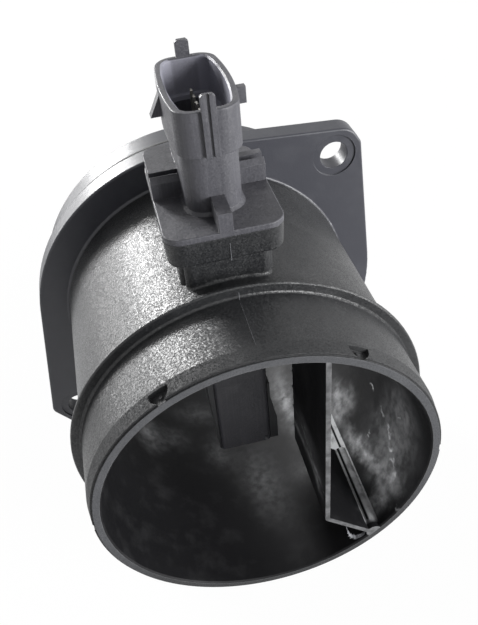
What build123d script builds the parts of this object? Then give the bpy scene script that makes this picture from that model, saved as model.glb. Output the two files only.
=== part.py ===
"""Mass airflow sensor: a moulded duct with a plug-in measuring sensor.

The origin is the centre of the flange's mounting face. +Y runs along the duct from the hose end
to the filter-box spigot, +Z points up along the connector and +X is to the right. Millimetres.
"""
import os
from math import acos, atan2, cos, degrees, hypot, radians, sin

from build123d import *

# Duct, measured along its axis
hose_reach = 82.0           # mounting face to the tip of the hose end
hose_diameter = 88.0
bore_diameter = 81.5
tip_diameter = 85.8         # narrow proud ring round the mouth
tip_height = 0.5
lead_in_diameter = 86.8     # lead-in taper that the hose slides over
lead_in_length = 4.1
hose_seat_length = 20.4     # tip to the face of the stop rib
stop_rib_height = 2.7
stop_rib_thickness = 1.3
stop_rib_fillet = 0.6
stop_rib_edge_chamfer = 0.3
mouth_chamfer = 0.4

# Gate pockets moulded into the lead-in taper
pocket_count = 6
pocket_edge = 3.4           # hose tip to the pocket's flat side
pocket_radius = 2.6
pocket_straight = 0.5
pocket_depth = 1.5
gate_pin_diameter = 1.0
gate_pin_height = 0.4

# Flange
flange_radius = 53.0
flange_thickness = 6.2
flange_edge_fillet = 0.6
flange_root_fillet = 0.8
upper_lug_angle = 44.8      # degrees from +X towards +Z
upper_lug_reach = 67.25     # duct axis to the middle of the lug's flat end
upper_lug_end_width = 5.7
upper_lug_end_tilt = -14.1  # degrees by which the flat end leans from square
upper_lug_fillets = (2.2, 6.0)
upper_hole_setback = 8.4    # lug's flat end to the hole's centre
upper_hole_offset = 0.9     # degrees from the lug's middle
lower_lug_angle = 216.7
lower_lug_reach = 68.9
lower_lug_end_width = 13.1
lower_lug_end_tilt = 0.0
lower_lug_fillets = (3.2, 2.2)
lower_hole_setback = 8.1
lower_hole_offset = -1.3
fixing_hole_diameter = 8.2
spot_face_diameter = 12.6
spot_face_depth = 0.4

# Filter-box spigot behind the flange
spigot_diameter = 99.6
spigot_length = 15.4
spigot_wall = 2.6
spigot_tip_chamfer = 0.8
inlet_lip_radius = 2.8
seal_groove_offset = 2.4    # mounting face to the groove
seal_groove_width = 3.4
seal_groove_depth = 1.5
seal_cord_diameter = 3.0
seal_floor_clearance = 0.04

# Partition that closes off the side channel
partition_offset = 13.7     # duct axis to the wall's inner face
partition_thickness = 1.25
partition_length = 28.0
partition_corner_height = -19.4
partition_slope = 41.5      # degrees below horizontal, foot of the partition
partition_bend = 1.6
bead_diameter = 4.2         # round bead on the foot, along the bore's wall
bead_angle = -47.6          # degrees from +X towards +Z

# Sensor seat on top of the duct
sensor_front = 25.0         # hose tip to the front edge of the sensor's plate
sensor_offset = -0.3        # middle of the seat in X
sensor_width = 27.3
sensor_length = 37.0
sensor_corner = 4.0
seat_height = 57.3          # duct axis to the seat's face
seat_thickness = 6.3
seat_draft = 3.0            # degrees that the seat's sides lean inwards, going down
seat_fillet = 0.7
pedestal_width = 22.4
pedestal_setback = 2.4      # seat edge to the front of the pedestal's nose
pedestal_length = 33.0
pedestal_corner = 2.0
pedestal_root_fillet = 0.8
nose_width = 20.2           # narrower front of the pedestal
nose_depth = 2.2
socket_wall = 1.0
socket_front_wall = 2.8
socket_corner = 2.0

# Sensor body
plate_thickness = 1.4
plate_gap = 0.05            # joint between plate and seat
plate_edge_fillet = 0.3
collar_clearance = 0.2
collar_depth = 14.0
collar_groove_offset = 6.0
collar_groove_width = 2.6
collar_groove_depth = 1.2
ring_clearance = 0.04
finger_width = 14.8
finger_length = 26.0
finger_setback = 6.0        # plate's front edge to the finger
finger_tip_height = -20.5
finger_corner = 1.2

# Connector
connector_offset = -0.5     # middle of the stem and shroud in X
stem_width = 13.0
stem_setback = 7.8          # plate's front edge to the stem
stem_length = 28.0
stem_corner = 4.6
stem_foot = 0.7             # slope round the stem's foot
shroud_bottom_height = 73.9
shroud_top_height = 84.0
shroud_width = 16.1
shroud_end_width = 13.0     # across the ends, where the bowed flanks stop
shroud_length = 31.0
shroud_overhang = 1.9       # front of the shroud past the stem
shroud_corner = 4.5
shroud_wall = 1.6
shroud_rim_fillet = 0.35
shroud_mouth_chamfer = 0.4
socket_floor_height = 71.0
guide_tip_chamfer = 0.5
front_guide_width = 3.1
front_guide_rise = 3.7      # above the shroud's rim
front_guide_thickness = 1.0
front_guide_proud = 0.8
front_guide_groove = 0.6
front_guide_groove_depth = 0.5
rear_guide_width = 3.2
rear_guide_rise = 3.8
rear_guide_thickness = 1.2
latch_height = 4.9          # ramp on the left flank
latch_top_drop = 1.6        # rim to the top of the ramp
latch_length = 2.5
latch_reach = 2.5
latch_offset = 15.1         # shroud's front to the ramp
fin_height = 3.6            # upright fin on the right flank
fin_top_drop = 0.4
fin_thickness = 1.7
fin_reach = 1.7
fin_offset = 9.0            # shroud's front to the fin

# Raised bridge and front rib on the sensor's plate
bridge_setback = 18.0
bridge_left_length = 16.2
bridge_right_length = 5.5
bridge_width = 27.0
bridge_height = 5.3
bridge_chamfer = 1.25
bridge_corner = 3.5
bridge_groove_setback = 0.15
bridge_groove_width = 2.0
bridge_groove_depth = 1.2
front_rib_width = 3.2
front_rib_height = 4.6

# Inside the finger
cover_thickness = 1.2
cover_clearance = 0.05
cover_lip = 0.9
cover_setback = 0.6         # finger's front and rear to what stands proud of its sides
left_proud = 1.9            # electronics cover past the finger's side
left_taper_height = 12.0    # below it the cover thins down to its toe
left_toe = 0.3
right_proud = 0.65          # bypass cover past the finger's side
right_top_height = 2.3
blister_proud = 2.25        # lower part of the bypass cover past the finger's side
blister_top_height = -3.0
blister_full_height = -12.0
board_bay_top = 38.0
board_bay_bottom = 2.0
board_bay_wall = 2.4
board_bay_floor = 1.5       # x of the bay's floor
bypass_top = -1.5
bypass_bottom = -18.3
bypass_wall = 2.0
bypass_floor = -4.9         # x of the channel's floor
bypass_divider_height = -10.0
bypass_divider_thickness = 1.4
bypass_turn = 7.5           # gap round the end of the divider
outlet_length = 5.0
outlet_height = 4.6
outlet_top_gap = 1.4
outlet_back_gap = 0.6

# Electronics
carrier_thickness = 1.0
carrier_margin = 0.2        # edge of the bay to the carrier
carrier_corner = 1.0
board_thickness = 0.7
board_margin = 0.2          # edge of the carrier to the board
board_foot = 4.4            # carrier's foot to the board's
package_size = 6.0
package_thickness = 0.9
package_chamfer = 0.15
package_height = 17.0
capacitor_count = 4
capacitor_pitch = 3.6
capacitor_length = 2.0
capacitor_width = 1.25
capacitor_thickness = 1.0
capacitor_height = 10.0
tongue_width = 5.0
tongue_thickness = 0.8
tongue_overlap = 3.0
tongue_reach = 8.2          # below the bay's floor
tongue_clearance = 0.3
tongue_tip_corner = 0.6
chip_width = 2.6
chip_height = 3.6
chip_thickness = 0.4
chip_edge = 0.4
probe_height = 12.0
probe_spread = 6.0
probe_reach = 3.4
probe_embed = 1.6
probe_bead_diameter = 2.4
probe_wire_diameter = 0.6
probe_wire_bend = 0.9

# Contacts
contact_count = 5
contact_pitch = 3.6
contact_width = 1.2
contact_thickness = 0.6
contact_tip_height = 79.0
contact_overlap = 3.0       # contact's foot on the board
contact_tip_chamfer = 0.2

# Worked out from the driving sizes
overlap = 0.6               # depth by which joined forms run into each other
tolerance = 0.01            # within which a face or edge counts as lying at a height
tip_y = -hose_reach
rib_y = tip_y + hose_seat_length
flange_face_y = -flange_thickness
hose_radius = hose_diameter / 2
bore_radius = bore_diameter / 2
spigot_radius = spigot_diameter / 2
sensor_front_y = tip_y + sensor_front
sensor_mid_y = sensor_front_y + sensor_length / 2
pedestal_front_y = sensor_front_y + pedestal_setback
pedestal_back_y = pedestal_front_y + pedestal_length
block_length = pedestal_length - nose_depth
socket_width = pedestal_width - 2 * socket_wall
socket_length = pedestal_length - socket_front_wall - socket_wall
socket_mid_y = pedestal_front_y + socket_front_wall + socket_length / 2
finger_front_y = sensor_front_y + finger_setback
finger_mid_y = finger_front_y + finger_length / 2
stem_front_y = sensor_front_y + stem_setback
stem_mid_y = stem_front_y + stem_length / 2
shroud_front_y = stem_front_y - shroud_overhang
shroud_mid_y = shroud_front_y + shroud_length / 2
plate_bottom = seat_height + plate_gap
plate_top = plate_bottom + plate_thickness
collar_bottom = seat_height - collar_depth
collar_width = socket_width - 2 * collar_clearance
collar_length = socket_length - 2 * collar_clearance
collar_corner = socket_corner - collar_clearance
half_finger = finger_width / 2
finger_back_y = finger_front_y + finger_length
bay_length = finger_length - 2 * board_bay_wall
bay_height = board_bay_top - board_bay_bottom
bay_middle = (board_bay_top + board_bay_bottom) / 2
channel_length = finger_length - 2 * bypass_wall
channel_height = bypass_top - bypass_bottom
channel_middle = (bypass_top + bypass_bottom) / 2
carrier_front_x = board_bay_floor - carrier_thickness
board_front_x = carrier_front_x - board_thickness
carrier_bottom = board_bay_bottom + carrier_margin
carrier_length = bay_length - 2 * carrier_margin
carrier_height = bay_height - 2 * carrier_margin
board_bottom = carrier_bottom + board_foot
board_top = board_bay_top - carrier_margin - board_margin
board_length = carrier_length - 2 * board_margin
tongue_bottom = board_bay_bottom - tongue_reach
tongue_mid_x = carrier_front_x - tongue_thickness / 2
contact_mid_x = board_front_x - contact_thickness / 2
contact_bottom = board_top - contact_overlap


def lug_points(angle, reach, end_width, end_tilt):
    """Corners of one lug: tangent point, the two ends of its flat end, and tangent point."""
    middle = Vector(*on_circle(reach, angle))
    along_end = Vector(*on_circle(end_width / 2, angle + end_tilt + 90))
    points = []
    for corner, sense in ((middle - along_end, -1), (middle + along_end, 1)):
        corner_angle = degrees(atan2(corner.Y, corner.X))
        side = degrees(acos(flange_radius / corner.length))
        tangent_point = on_circle(flange_radius, corner_angle + sense * side)
        points += [(corner.X, corner.Y), tangent_point]
    first_corner, first_tangent, second_corner, second_tangent = points
    return first_tangent, first_corner, second_corner, second_tangent


def on_circle(radius, angle):
    return radius * cos(radians(angle)), radius * sin(radians(angle))


def cross_plane(y):
    """Plane across the duct at y, seen from the hose end: X to the right, Z up."""
    return Plane(origin=(0, y, 0), x_dir=(1, 0, 0), z_dir=(0, -1, 0))


def tangent_plane(angle, radius):
    """Plane that touches the circle of that radius round the duct's axis, facing outwards."""
    outwards = Vector(cos(radians(angle)), 0, sin(radians(angle)))
    return Plane(origin=outwards * radius, x_dir=(0, 1, 0), z_dir=outwards)


def side_plane(x):
    """Plane along the duct at x: Y to the right, Z up, facing +X."""
    return Plane.YZ.offset(x)


def ring_edges(part, y, radius):
    """Circular edges of the given radius round the duct's axis at y."""
    found = []
    for edge in part.edges().filter_by(GeomType.CIRCLE):
        centre = edge.arc_center
        on_axis = hypot(centre.X, centre.Z) < tolerance
        if on_axis and abs(centre.Y - y) < tolerance and abs(edge.radius - radius) < tolerance:
            found.append(edge)
    return found


def shroud_outline(height, inset=0):
    """Sketch of the connector shroud at a height: straight ends and bowed flanks."""
    end_y = shroud_length / 2 - inset
    corner_x = shroud_end_width / 2 - inset
    flank_x = shroud_width / 2 - inset
    with BuildSketch(Plane(origin=(connector_offset, shroud_mid_y, height))) as outline:
        with BuildLine():
            ThreePointArc((-corner_x, -end_y), (-flank_x, 0), (-corner_x, end_y))
            Line((-corner_x, end_y), (corner_x, end_y))
            ThreePointArc((corner_x, end_y), (flank_x, 0), (corner_x, -end_y))
            Line((corner_x, -end_y), (-corner_x, -end_y))
        make_face()
        fillet(outline.vertices(), shroud_corner - inset)
    return outline.sketch


def guide_outline(y, width, rise):
    """Sketch of a guide rib at y: it runs from the shroud's foot to above its rim."""
    height = shroud_top_height + rise - shroud_bottom_height
    with BuildSketch(cross_plane(y)) as outline:
        with Locations((connector_offset, shroud_bottom_height)):
            Rectangle(width, height, align=(Align.CENTER, Align.MIN))
        chamfer(outline.vertices().group_by(Axis.Y)[-1], guide_tip_chamfer)
    return outline.sketch


def make_duct():
    """The moulded duct: tube, stop rib, flange, spigot, sensor seat and side channel."""
    with BuildPart() as duct:
        # Tube, lead-in taper and stop rib in one turned profile
        with BuildSketch(Plane.YZ):
            with BuildLine():
                Polyline(
                    (tip_y, 0),
                    (tip_y, tip_diameter / 2),
                    (tip_y + tip_height, tip_diameter / 2),
                    (tip_y + tip_height, lead_in_diameter / 2),
                    (tip_y + lead_in_length, hose_radius),
                    (rib_y, hose_radius),
                    (rib_y, hose_radius + stop_rib_height),
                    (rib_y + stop_rib_thickness, hose_radius + stop_rib_height),
                    (rib_y + stop_rib_thickness, hose_radius),
                    (0, hose_radius),
                    (0, 0),
                    close=True,
                )
            make_face()
        revolve(axis=Axis.Y)
        root = ring_edges(duct.part, rib_y, hose_radius)
        root += ring_edges(duct.part, rib_y + stop_rib_thickness, hose_radius)
        fillet(root, stop_rib_fillet)
        rim = ring_edges(duct.part, rib_y, hose_radius + stop_rib_height)
        rim += ring_edges(duct.part, rib_y + stop_rib_thickness, hose_radius + stop_rib_height)
        chamfer(rim, stop_rib_edge_chamfer)

        # Flange: a disc with two lugs whose sides run off tangent to it
        upper_lug = lug_points(
            upper_lug_angle, upper_lug_reach, upper_lug_end_width, upper_lug_end_tilt
        )
        lower_lug = lug_points(
            lower_lug_angle, lower_lug_reach, lower_lug_end_width, lower_lug_end_tilt
        )
        with BuildSketch(cross_plane(0)) as outline:
            Circle(flange_radius)
            for points, radii in ((upper_lug, upper_lug_fillets), (lower_lug, lower_lug_fillets)):
                with BuildLine():
                    Polyline(*points, (0, 0), close=True)
                make_face()
                for corner, radius in zip(points[1:3], radii):
                    fillet(outline.vertices().sort_by_distance(corner)[0], radius)
        extrude(amount=flange_thickness)
        front = duct.faces().filter_by(Plane.XZ).filter_by(
            lambda face: abs(face.center().Y - flange_face_y) < tolerance
        )
        fillet(front.sort_by(SortBy.AREA)[-1].outer_wire().edges(), flange_edge_fillet)
        fillet(ring_edges(duct.part, flange_face_y, hose_radius), flange_root_fillet)

        # Spigot with its seal groove
        with BuildSketch(Plane.YZ):
            with BuildLine():
                Polyline(
                    (-overlap, 0),
                    (-overlap, spigot_radius),
                    (seal_groove_offset, spigot_radius),
                    (seal_groove_offset, spigot_radius - seal_groove_depth),
                    (seal_groove_offset + seal_groove_width, spigot_radius - seal_groove_depth),
                    (seal_groove_offset + seal_groove_width, spigot_radius),
                    (spigot_length, spigot_radius),
                    (spigot_length, 0),
                    close=True,
                )
            make_face()
        revolve(axis=Axis.Y)
        chamfer(ring_edges(duct.part, spigot_length, spigot_radius), spigot_tip_chamfer)

        # Pedestal and seat for the sensor
        pedestal_height = seat_height - bore_radius + overlap - seat_thickness / 2
        nose_back_y = pedestal_back_y - pedestal_corner
        nose_mid_y = (pedestal_front_y + nose_back_y) / 2
        with BuildSketch(Plane.XY.offset(bore_radius - overlap)):
            with Locations((sensor_offset, nose_mid_y)):
                RectangleRounded(nose_width, nose_back_y - pedestal_front_y, pedestal_corner)
        extrude(amount=pedestal_height)
        root = duct.edges().filter_by(
            lambda edge: abs(edge.center().X - sensor_offset) < nose_width / 2 + tolerance
            and pedestal_front_y - tolerance < edge.center().Y < nose_back_y + tolerance
            and bore_radius < edge.center().Z < hose_radius + tolerance
        )
        fillet(root, pedestal_root_fillet)
        with BuildSketch(Plane.XY.offset(bore_radius - overlap)):
            with Locations((sensor_offset, pedestal_back_y - block_length / 2)):
                RectangleRounded(pedestal_width, block_length, pedestal_corner)
        extrude(amount=pedestal_height)
        with BuildSketch(Plane.XY.offset(seat_height)):
            with Locations((sensor_offset, sensor_mid_y)):
                RectangleRounded(sensor_width, sensor_length, sensor_corner)
        extrude(amount=-seat_thickness, taper=seat_draft)
        seat_underside = duct.faces().filter_by(Plane.XY).filter_by(
            lambda face: abs(face.center().Z - seat_height + seat_thickness) < tolerance
        )
        fillet(seat_underside[0].outer_wire().edges(), seat_fillet)

        # Bore, spigot recess with its rounded inlet lip, and the sensor's socket
        with BuildSketch(Plane.YZ):
            with BuildLine():
                Polyline(
                    (tip_y - overlap, 0),
                    (tip_y - overlap, bore_radius),
                    (-inlet_lip_radius, bore_radius),
                )
                CenterArc(
                    (-inlet_lip_radius, bore_radius + inlet_lip_radius), inlet_lip_radius, -90, 90
                )
                Polyline(
                    (0, bore_radius + inlet_lip_radius),
                    (0, spigot_radius - spigot_wall),
                    (spigot_length + overlap, spigot_radius - spigot_wall),
                    (spigot_length + overlap, 0),
                    (tip_y - overlap, 0),
                )
            make_face()
        revolve(axis=Axis.Y, mode=Mode.SUBTRACT)
        chamfer(ring_edges(duct.part, tip_y, bore_radius), mouth_chamfer)
        with BuildSketch(Plane.XY.offset(seat_height)):
            with Locations((sensor_offset, socket_mid_y)):
                RectangleRounded(socket_width, socket_length, socket_corner)
        extrude(amount=-seat_height, mode=Mode.SUBTRACT)

        # Partition: an upright wall that bends into a sloping foot with a bead at its end
        slope = radians(-partition_slope)
        run = bore_radius
        foot = (partition_offset + run * cos(slope), partition_corner_height + run * sin(slope))
        with BuildSketch(cross_plane(tip_y)) as wall:
            with BuildLine() as spine:
                FilletPolyline(
                    (partition_offset, bore_radius + overlap),
                    (partition_offset, partition_corner_height),
                    foot,
                    radius=partition_bend,
                )
                offset(amount=partition_thickness, side=Side.LEFT, closed=True)
            make_face()
            with Locations(on_circle(bore_radius, bead_angle)):
                Circle(bead_diameter / 2)
            Circle(bore_radius + overlap, mode=Mode.INTERSECT)
        extrude(amount=-partition_length)

        # Fixing holes with shallow spot faces
        for radius, angle in (
            (upper_lug_reach - upper_hole_setback, upper_lug_angle + upper_hole_offset),
            (lower_lug_reach - lower_hole_setback, lower_lug_angle + lower_hole_offset),
        ):
            with BuildSketch(cross_plane(flange_face_y)):
                with Locations(on_circle(radius, angle)):
                    Circle(spot_face_diameter / 2)
            extrude(amount=-spot_face_depth, mode=Mode.SUBTRACT)
            with BuildSketch(cross_plane(flange_face_y)):
                with Locations(on_circle(radius, angle)):
                    Circle(fixing_hole_diameter / 2)
            extrude(amount=-flange_thickness, mode=Mode.SUBTRACT)

        # Gate pockets: D-shaped, flat side towards the hose seat
        pocket_y = tip_y + pocket_edge
        for index in range(pocket_count):
            turn = 360 * index / pocket_count
            floor = tangent_plane(turn, hose_radius - pocket_depth)
            with BuildSketch(floor):
                with Locations((pocket_y - pocket_straight, 0)):
                    Circle(pocket_radius)
                with Locations((pocket_y, 0)):
                    Rectangle(
                        4 * pocket_radius, 4 * pocket_radius,
                        align=(Align.MIN, Align.CENTER), mode=Mode.SUBTRACT,
                    )
            extrude(amount=2 * pocket_depth, mode=Mode.SUBTRACT)
            with BuildSketch(floor.offset(-overlap)):
                with Locations((pocket_y - pocket_radius / 2, 0)):
                    Circle(gate_pin_diameter / 2)
            extrude(amount=gate_pin_height + overlap)
    return duct


def make_sensor_housing():
    """The sensor's moulding: seat plate, collar, finger, stem and connector shroud in one."""
    with BuildPart() as body:
        # Seat plate
        with BuildSketch(Plane.XY.offset(plate_bottom)):
            with Locations((sensor_offset, sensor_mid_y)):
                RectangleRounded(sensor_width, sensor_length, sensor_corner)
        extrude(amount=plate_thickness)
        fillet(body.faces().sort_by(Axis.Z)[-1].edges(), plate_edge_fillet)

        # Bridge across the plate, longer on the left, with a chamfered front and a groove
        bridge_front_y = sensor_front_y + bridge_setback
        bridge_top = plate_top + bridge_height
        with BuildSketch(Plane.XY.offset(plate_top - overlap)) as outline:
            with Locations((sensor_offset, bridge_front_y)):
                Rectangle(bridge_width / 2, bridge_left_length, align=(Align.MAX, Align.MIN))
                Rectangle(bridge_width / 2, bridge_right_length, align=(Align.MIN, Align.MIN))
            fillet(outline.vertices().group_by(Axis.Y)[-1].sort_by(Axis.X)[0], bridge_corner)
        extrude(amount=bridge_height + overlap)
        front_edge = body.edges().filter_by(Axis.X).filter_by(
            lambda edge: abs(edge.center().Z - bridge_top) < tolerance
        )
        chamfer(front_edge.sort_by(Axis.Y)[0], bridge_chamfer)
        with BuildSketch(Plane.XY.offset(bridge_top)):
            with Locations((0, bridge_front_y + bridge_chamfer + bridge_groove_setback)):
                Rectangle(
                    2 * bridge_width, bridge_groove_width, align=(Align.CENTER, Align.MIN)
                )
        extrude(amount=-bridge_groove_depth, mode=Mode.SUBTRACT)

        # Front rib
        with BuildSketch(Plane.XY.offset(plate_top - overlap)):
            with Locations((sensor_offset, sensor_front_y)):
                Rectangle(
                    front_rib_width, stem_setback + stem_corner, align=(Align.CENTER, Align.MIN)
                )
        extrude(amount=front_rib_height + overlap)

        # Collar that plugs into the duct, with the groove for its seal
        with BuildSketch(Plane.XY.offset(plate_bottom + overlap)):
            with Locations((sensor_offset, socket_mid_y)):
                RectangleRounded(collar_width, collar_length, collar_corner)
        extrude(amount=collar_bottom - plate_bottom - overlap)
        with BuildSketch(Plane.XY.offset(seat_height - collar_groove_offset)):
            with Locations((sensor_offset, socket_mid_y)):
                RectangleRounded(2 * collar_width, 2 * collar_length, collar_corner)
                RectangleRounded(
                    collar_width - 2 * collar_groove_depth,
                    collar_length - 2 * collar_groove_depth,
                    collar_corner - collar_groove_depth,
                    mode=Mode.SUBTRACT,
                )
        extrude(amount=-collar_groove_width, mode=Mode.SUBTRACT)

        # Finger that hangs in the bore
        with BuildSketch(Plane.XY.offset(collar_bottom + overlap)):
            with Locations((0, finger_mid_y)):
                RectangleRounded(finger_width, finger_length, finger_corner)
        extrude(amount=finger_tip_height - collar_bottom - overlap)

        # Stem and connector shroud with its socket
        with BuildSketch(Plane.XY.offset(plate_top - overlap)):
            with Locations((connector_offset, stem_mid_y)):
                RectangleRounded(stem_width, stem_length, stem_corner)
        extrude(amount=shroud_bottom_height - plate_top + overlap + shroud_wall)
        with BuildSketch(Plane.XY.offset(plate_top)):
            with Locations((connector_offset, stem_mid_y)):
                RectangleRounded(
                    stem_width + 2 * stem_foot, stem_length + 2 * stem_foot, stem_corner + stem_foot
                )
        extrude(amount=stem_foot, taper=45)
        extrude(
            shroud_outline(shroud_bottom_height),
            amount=shroud_top_height - shroud_bottom_height,
        )
        extrude(
            shroud_outline(shroud_bottom_height + shroud_wall, shroud_wall),
            amount=shroud_top_height - shroud_bottom_height,
            mode=Mode.SUBTRACT,
        )
        with BuildSketch(Plane.XY.offset(socket_floor_height)):
            with Locations((connector_offset, stem_mid_y)):
                RectangleRounded(
                    stem_width - 2 * shroud_wall,
                    stem_length - 2 * shroud_wall,
                    stem_corner - shroud_wall,
                )
        extrude(amount=shroud_top_height - socket_floor_height, mode=Mode.SUBTRACT)
        fillet(body.faces().sort_by(Axis.Z)[-1].outer_wire().edges(), shroud_rim_fillet)
        chamfer(body.faces().sort_by(Axis.Z)[-1].inner_wires().edges(), shroud_mouth_chamfer)

        # Guide ribs that rise above the rim; the front one has a groove down its middle
        front_guide_y = shroud_front_y - front_guide_proud
        extrude(
            guide_outline(
                front_guide_y + front_guide_thickness, front_guide_width, front_guide_rise
            ),
            amount=front_guide_thickness,
        )
        extrude(
            guide_outline(shroud_front_y + shroud_length, rear_guide_width, rear_guide_rise),
            amount=rear_guide_thickness,
        )
        with BuildSketch(Plane.XY.offset(shroud_bottom_height)):
            with Locations((connector_offset, front_guide_y)):
                Rectangle(
                    front_guide_groove, front_guide_groove_depth, align=(Align.CENTER, Align.MIN)
                )
        extrude(
            amount=shroud_top_height + front_guide_rise - shroud_bottom_height,
            mode=Mode.SUBTRACT,
        )

        # Ramp on the left flank and upright fin on the right one
        left_flank = connector_offset - shroud_width / 2
        right_flank = connector_offset + shroud_width / 2
        latch_top = shroud_top_height - latch_top_drop
        with BuildSketch(cross_plane(shroud_front_y + latch_offset)):
            with BuildLine():
                Polyline(
                    (left_flank + overlap, latch_top),
                    (left_flank, latch_top),
                    (left_flank - latch_reach, latch_top - latch_height),
                    (left_flank + overlap, latch_top - latch_height),
                    close=True,
                )
            make_face()
        extrude(amount=-latch_length)
        with BuildSketch(cross_plane(shroud_front_y + fin_offset)):
            with Locations((right_flank - overlap, shroud_top_height - fin_top_drop)):
                Rectangle(fin_reach + overlap, fin_height, align=(Align.MIN, Align.MAX))
        extrude(amount=-fin_thickness)

        # Electronics bay, open to the left, with a step that carries its cover
        with BuildSketch(side_plane(-half_finger)):
            with Locations((finger_mid_y, bay_middle)):
                Rectangle(bay_length, bay_height)
        extrude(amount=board_bay_floor + half_finger, mode=Mode.SUBTRACT)
        with BuildSketch(side_plane(-half_finger)):
            with Locations((finger_mid_y, bay_middle)):
                Rectangle(bay_length + 2 * cover_lip, bay_height + 2 * cover_lip)
        extrude(amount=cover_thickness, mode=Mode.SUBTRACT)

        # Bypass channel, open to the right: in at the rear, round the divider and back
        with BuildSketch(side_plane(bypass_floor)):
            with Locations((finger_mid_y, channel_middle)):
                Rectangle(channel_length, channel_height)
        extrude(amount=half_finger - bypass_floor, mode=Mode.SUBTRACT)
        with BuildSketch(side_plane(half_finger)):
            with Locations((finger_mid_y, channel_middle)):
                Rectangle(channel_length + 2 * cover_lip, channel_height + 2 * cover_lip)
        extrude(amount=-cover_thickness, mode=Mode.SUBTRACT)
        with BuildSketch(side_plane(bypass_floor)):
            with Locations((finger_back_y - bypass_wall, bypass_divider_height)):
                Rectangle(
                    channel_length - bypass_turn,
                    bypass_divider_thickness,
                    align=(Align.MAX, Align.CENTER),
                )
        extrude(amount=half_finger - cover_thickness - bypass_floor)
        inlet_top = bypass_divider_height - bypass_divider_thickness / 2
        with BuildSketch(cross_plane(finger_back_y)):
            with Locations((bypass_floor, bypass_bottom)):
                Rectangle(
                    half_finger - cover_thickness - cover_lip - bypass_floor,
                    inlet_top - bypass_bottom,
                    align=(Align.MIN, Align.MIN),
                )
        extrude(amount=bypass_wall, mode=Mode.SUBTRACT)

        # Slot that the sensor element's tongue passes through
        with BuildSketch(Plane.XY.offset(board_bay_bottom)):
            with Locations((tongue_mid_x, finger_mid_y)):
                Rectangle(
                    tongue_thickness + 2 * tongue_clearance, tongue_width + 2 * tongue_clearance
                )
        extrude(amount=bypass_top - board_bay_bottom, mode=Mode.SUBTRACT)

        # Holes moulded round the contacts and the temperature probe's wires
        with BuildSketch(Plane.XY.offset(contact_bottom)):
            with Locations((contact_mid_x, stem_mid_y)):
                with GridLocations(0, contact_pitch, 1, contact_count):
                    Rectangle(contact_thickness, contact_width)
        extrude(amount=socket_floor_height - contact_bottom, mode=Mode.SUBTRACT)
        with BuildSketch(cross_plane(finger_back_y)):
            with Locations((0, probe_height)):
                with GridLocations(probe_spread, 0, 2, 1):
                    Circle(probe_wire_diameter / 2)
        extrude(amount=probe_embed, mode=Mode.SUBTRACT)
    return body


def make_electronics_cover():
    """Lid in the step round the electronics bay, with an outer part that thins downwards."""
    lid_top = board_bay_top + cover_lip - cover_clearance
    with BuildPart() as cover:
        with BuildSketch(side_plane(-half_finger)):
            with Locations((finger_mid_y, bay_middle)):
                Rectangle(
                    bay_length + 2 * cover_lip - 2 * cover_clearance,
                    bay_height + 2 * cover_lip - 2 * cover_clearance,
                )
        extrude(amount=cover_thickness)
        with BuildSketch(cross_plane(finger_back_y - cover_setback)):
            with BuildLine():
                Polyline(
                    (-half_finger, lid_top),
                    (-half_finger - left_proud, lid_top),
                    (-half_finger - left_proud, left_taper_height),
                    (-half_finger - left_toe, finger_tip_height),
                    (-half_finger, finger_tip_height),
                    close=True,
                )
            make_face()
        extrude(amount=finger_length - 2 * cover_setback)
    return cover


def make_bypass_cover():
    """Lid over the bypass channel, with a blister on its outside and the channel's outlet."""
    lid_bottom = bypass_bottom - cover_lip + cover_clearance
    lid_top = bypass_top + cover_lip - cover_clearance
    lid_length = channel_length + 2 * cover_lip - 2 * cover_clearance
    with BuildPart() as cover:
        with BuildSketch(side_plane(half_finger - cover_thickness)):
            with Locations((finger_mid_y, lid_bottom)):
                Rectangle(lid_length, lid_top - lid_bottom, align=(Align.CENTER, Align.MIN))
        extrude(amount=cover_thickness)

        # Outer part: a flat upper strip, then a slope out to the blister
        with BuildSketch(cross_plane(finger_back_y - cover_setback)):
            with BuildLine():
                Polyline(
                    (half_finger, right_top_height),
                    (half_finger + right_proud, right_top_height),
                    (half_finger + right_proud, blister_top_height),
                    (half_finger + blister_proud, blister_full_height),
                    (half_finger + blister_proud, finger_tip_height),
                    (half_finger, finger_tip_height),
                    close=True,
                )
            make_face()
        extrude(amount=finger_length - 2 * cover_setback)

        # Outlet at the rear end of the channel's upper leg
        outlet_top = bypass_top - outlet_top_gap
        with BuildSketch(side_plane(half_finger - cover_thickness)):
            with Locations((finger_back_y - bypass_wall - outlet_back_gap, outlet_top)):
                Rectangle(outlet_length, outlet_height, align=(Align.MAX, Align.MAX))
        extrude(amount=cover_thickness + blister_proud, mode=Mode.SUBTRACT)
    return cover


def make_carrier_plate():
    """Metal plate on the floor of the bay that carries the board."""
    with BuildPart() as plate:
        with BuildSketch(side_plane(carrier_front_x)) as outline:
            with Locations((finger_mid_y, carrier_bottom)):
                Rectangle(carrier_length, carrier_height, align=(Align.CENTER, Align.MIN))
            fillet(outline.vertices(), carrier_corner)
        extrude(amount=carrier_thickness)
    return plate


def make_circuit_board():
    """Board on the carrier; it stops short of the carrier's foot to leave the tongue its place."""
    with BuildPart() as board:
        with BuildSketch(side_plane(board_front_x)):
            with Locations((finger_mid_y, board_bottom)):
                Rectangle(board_length, board_top - board_bottom, align=(Align.CENTER, Align.MIN))
        extrude(amount=board_thickness)
    return board


def make_evaluation_ic():
    """Moulded package in the middle of the board."""
    with BuildPart() as package:
        with BuildSketch(side_plane(board_front_x)):
            with Locations((finger_mid_y, package_height)):
                Rectangle(package_size, package_size)
        extrude(amount=-package_thickness)
        chamfer(package.faces().sort_by(Axis.X)[0].edges(), package_chamfer)
    return package


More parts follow.
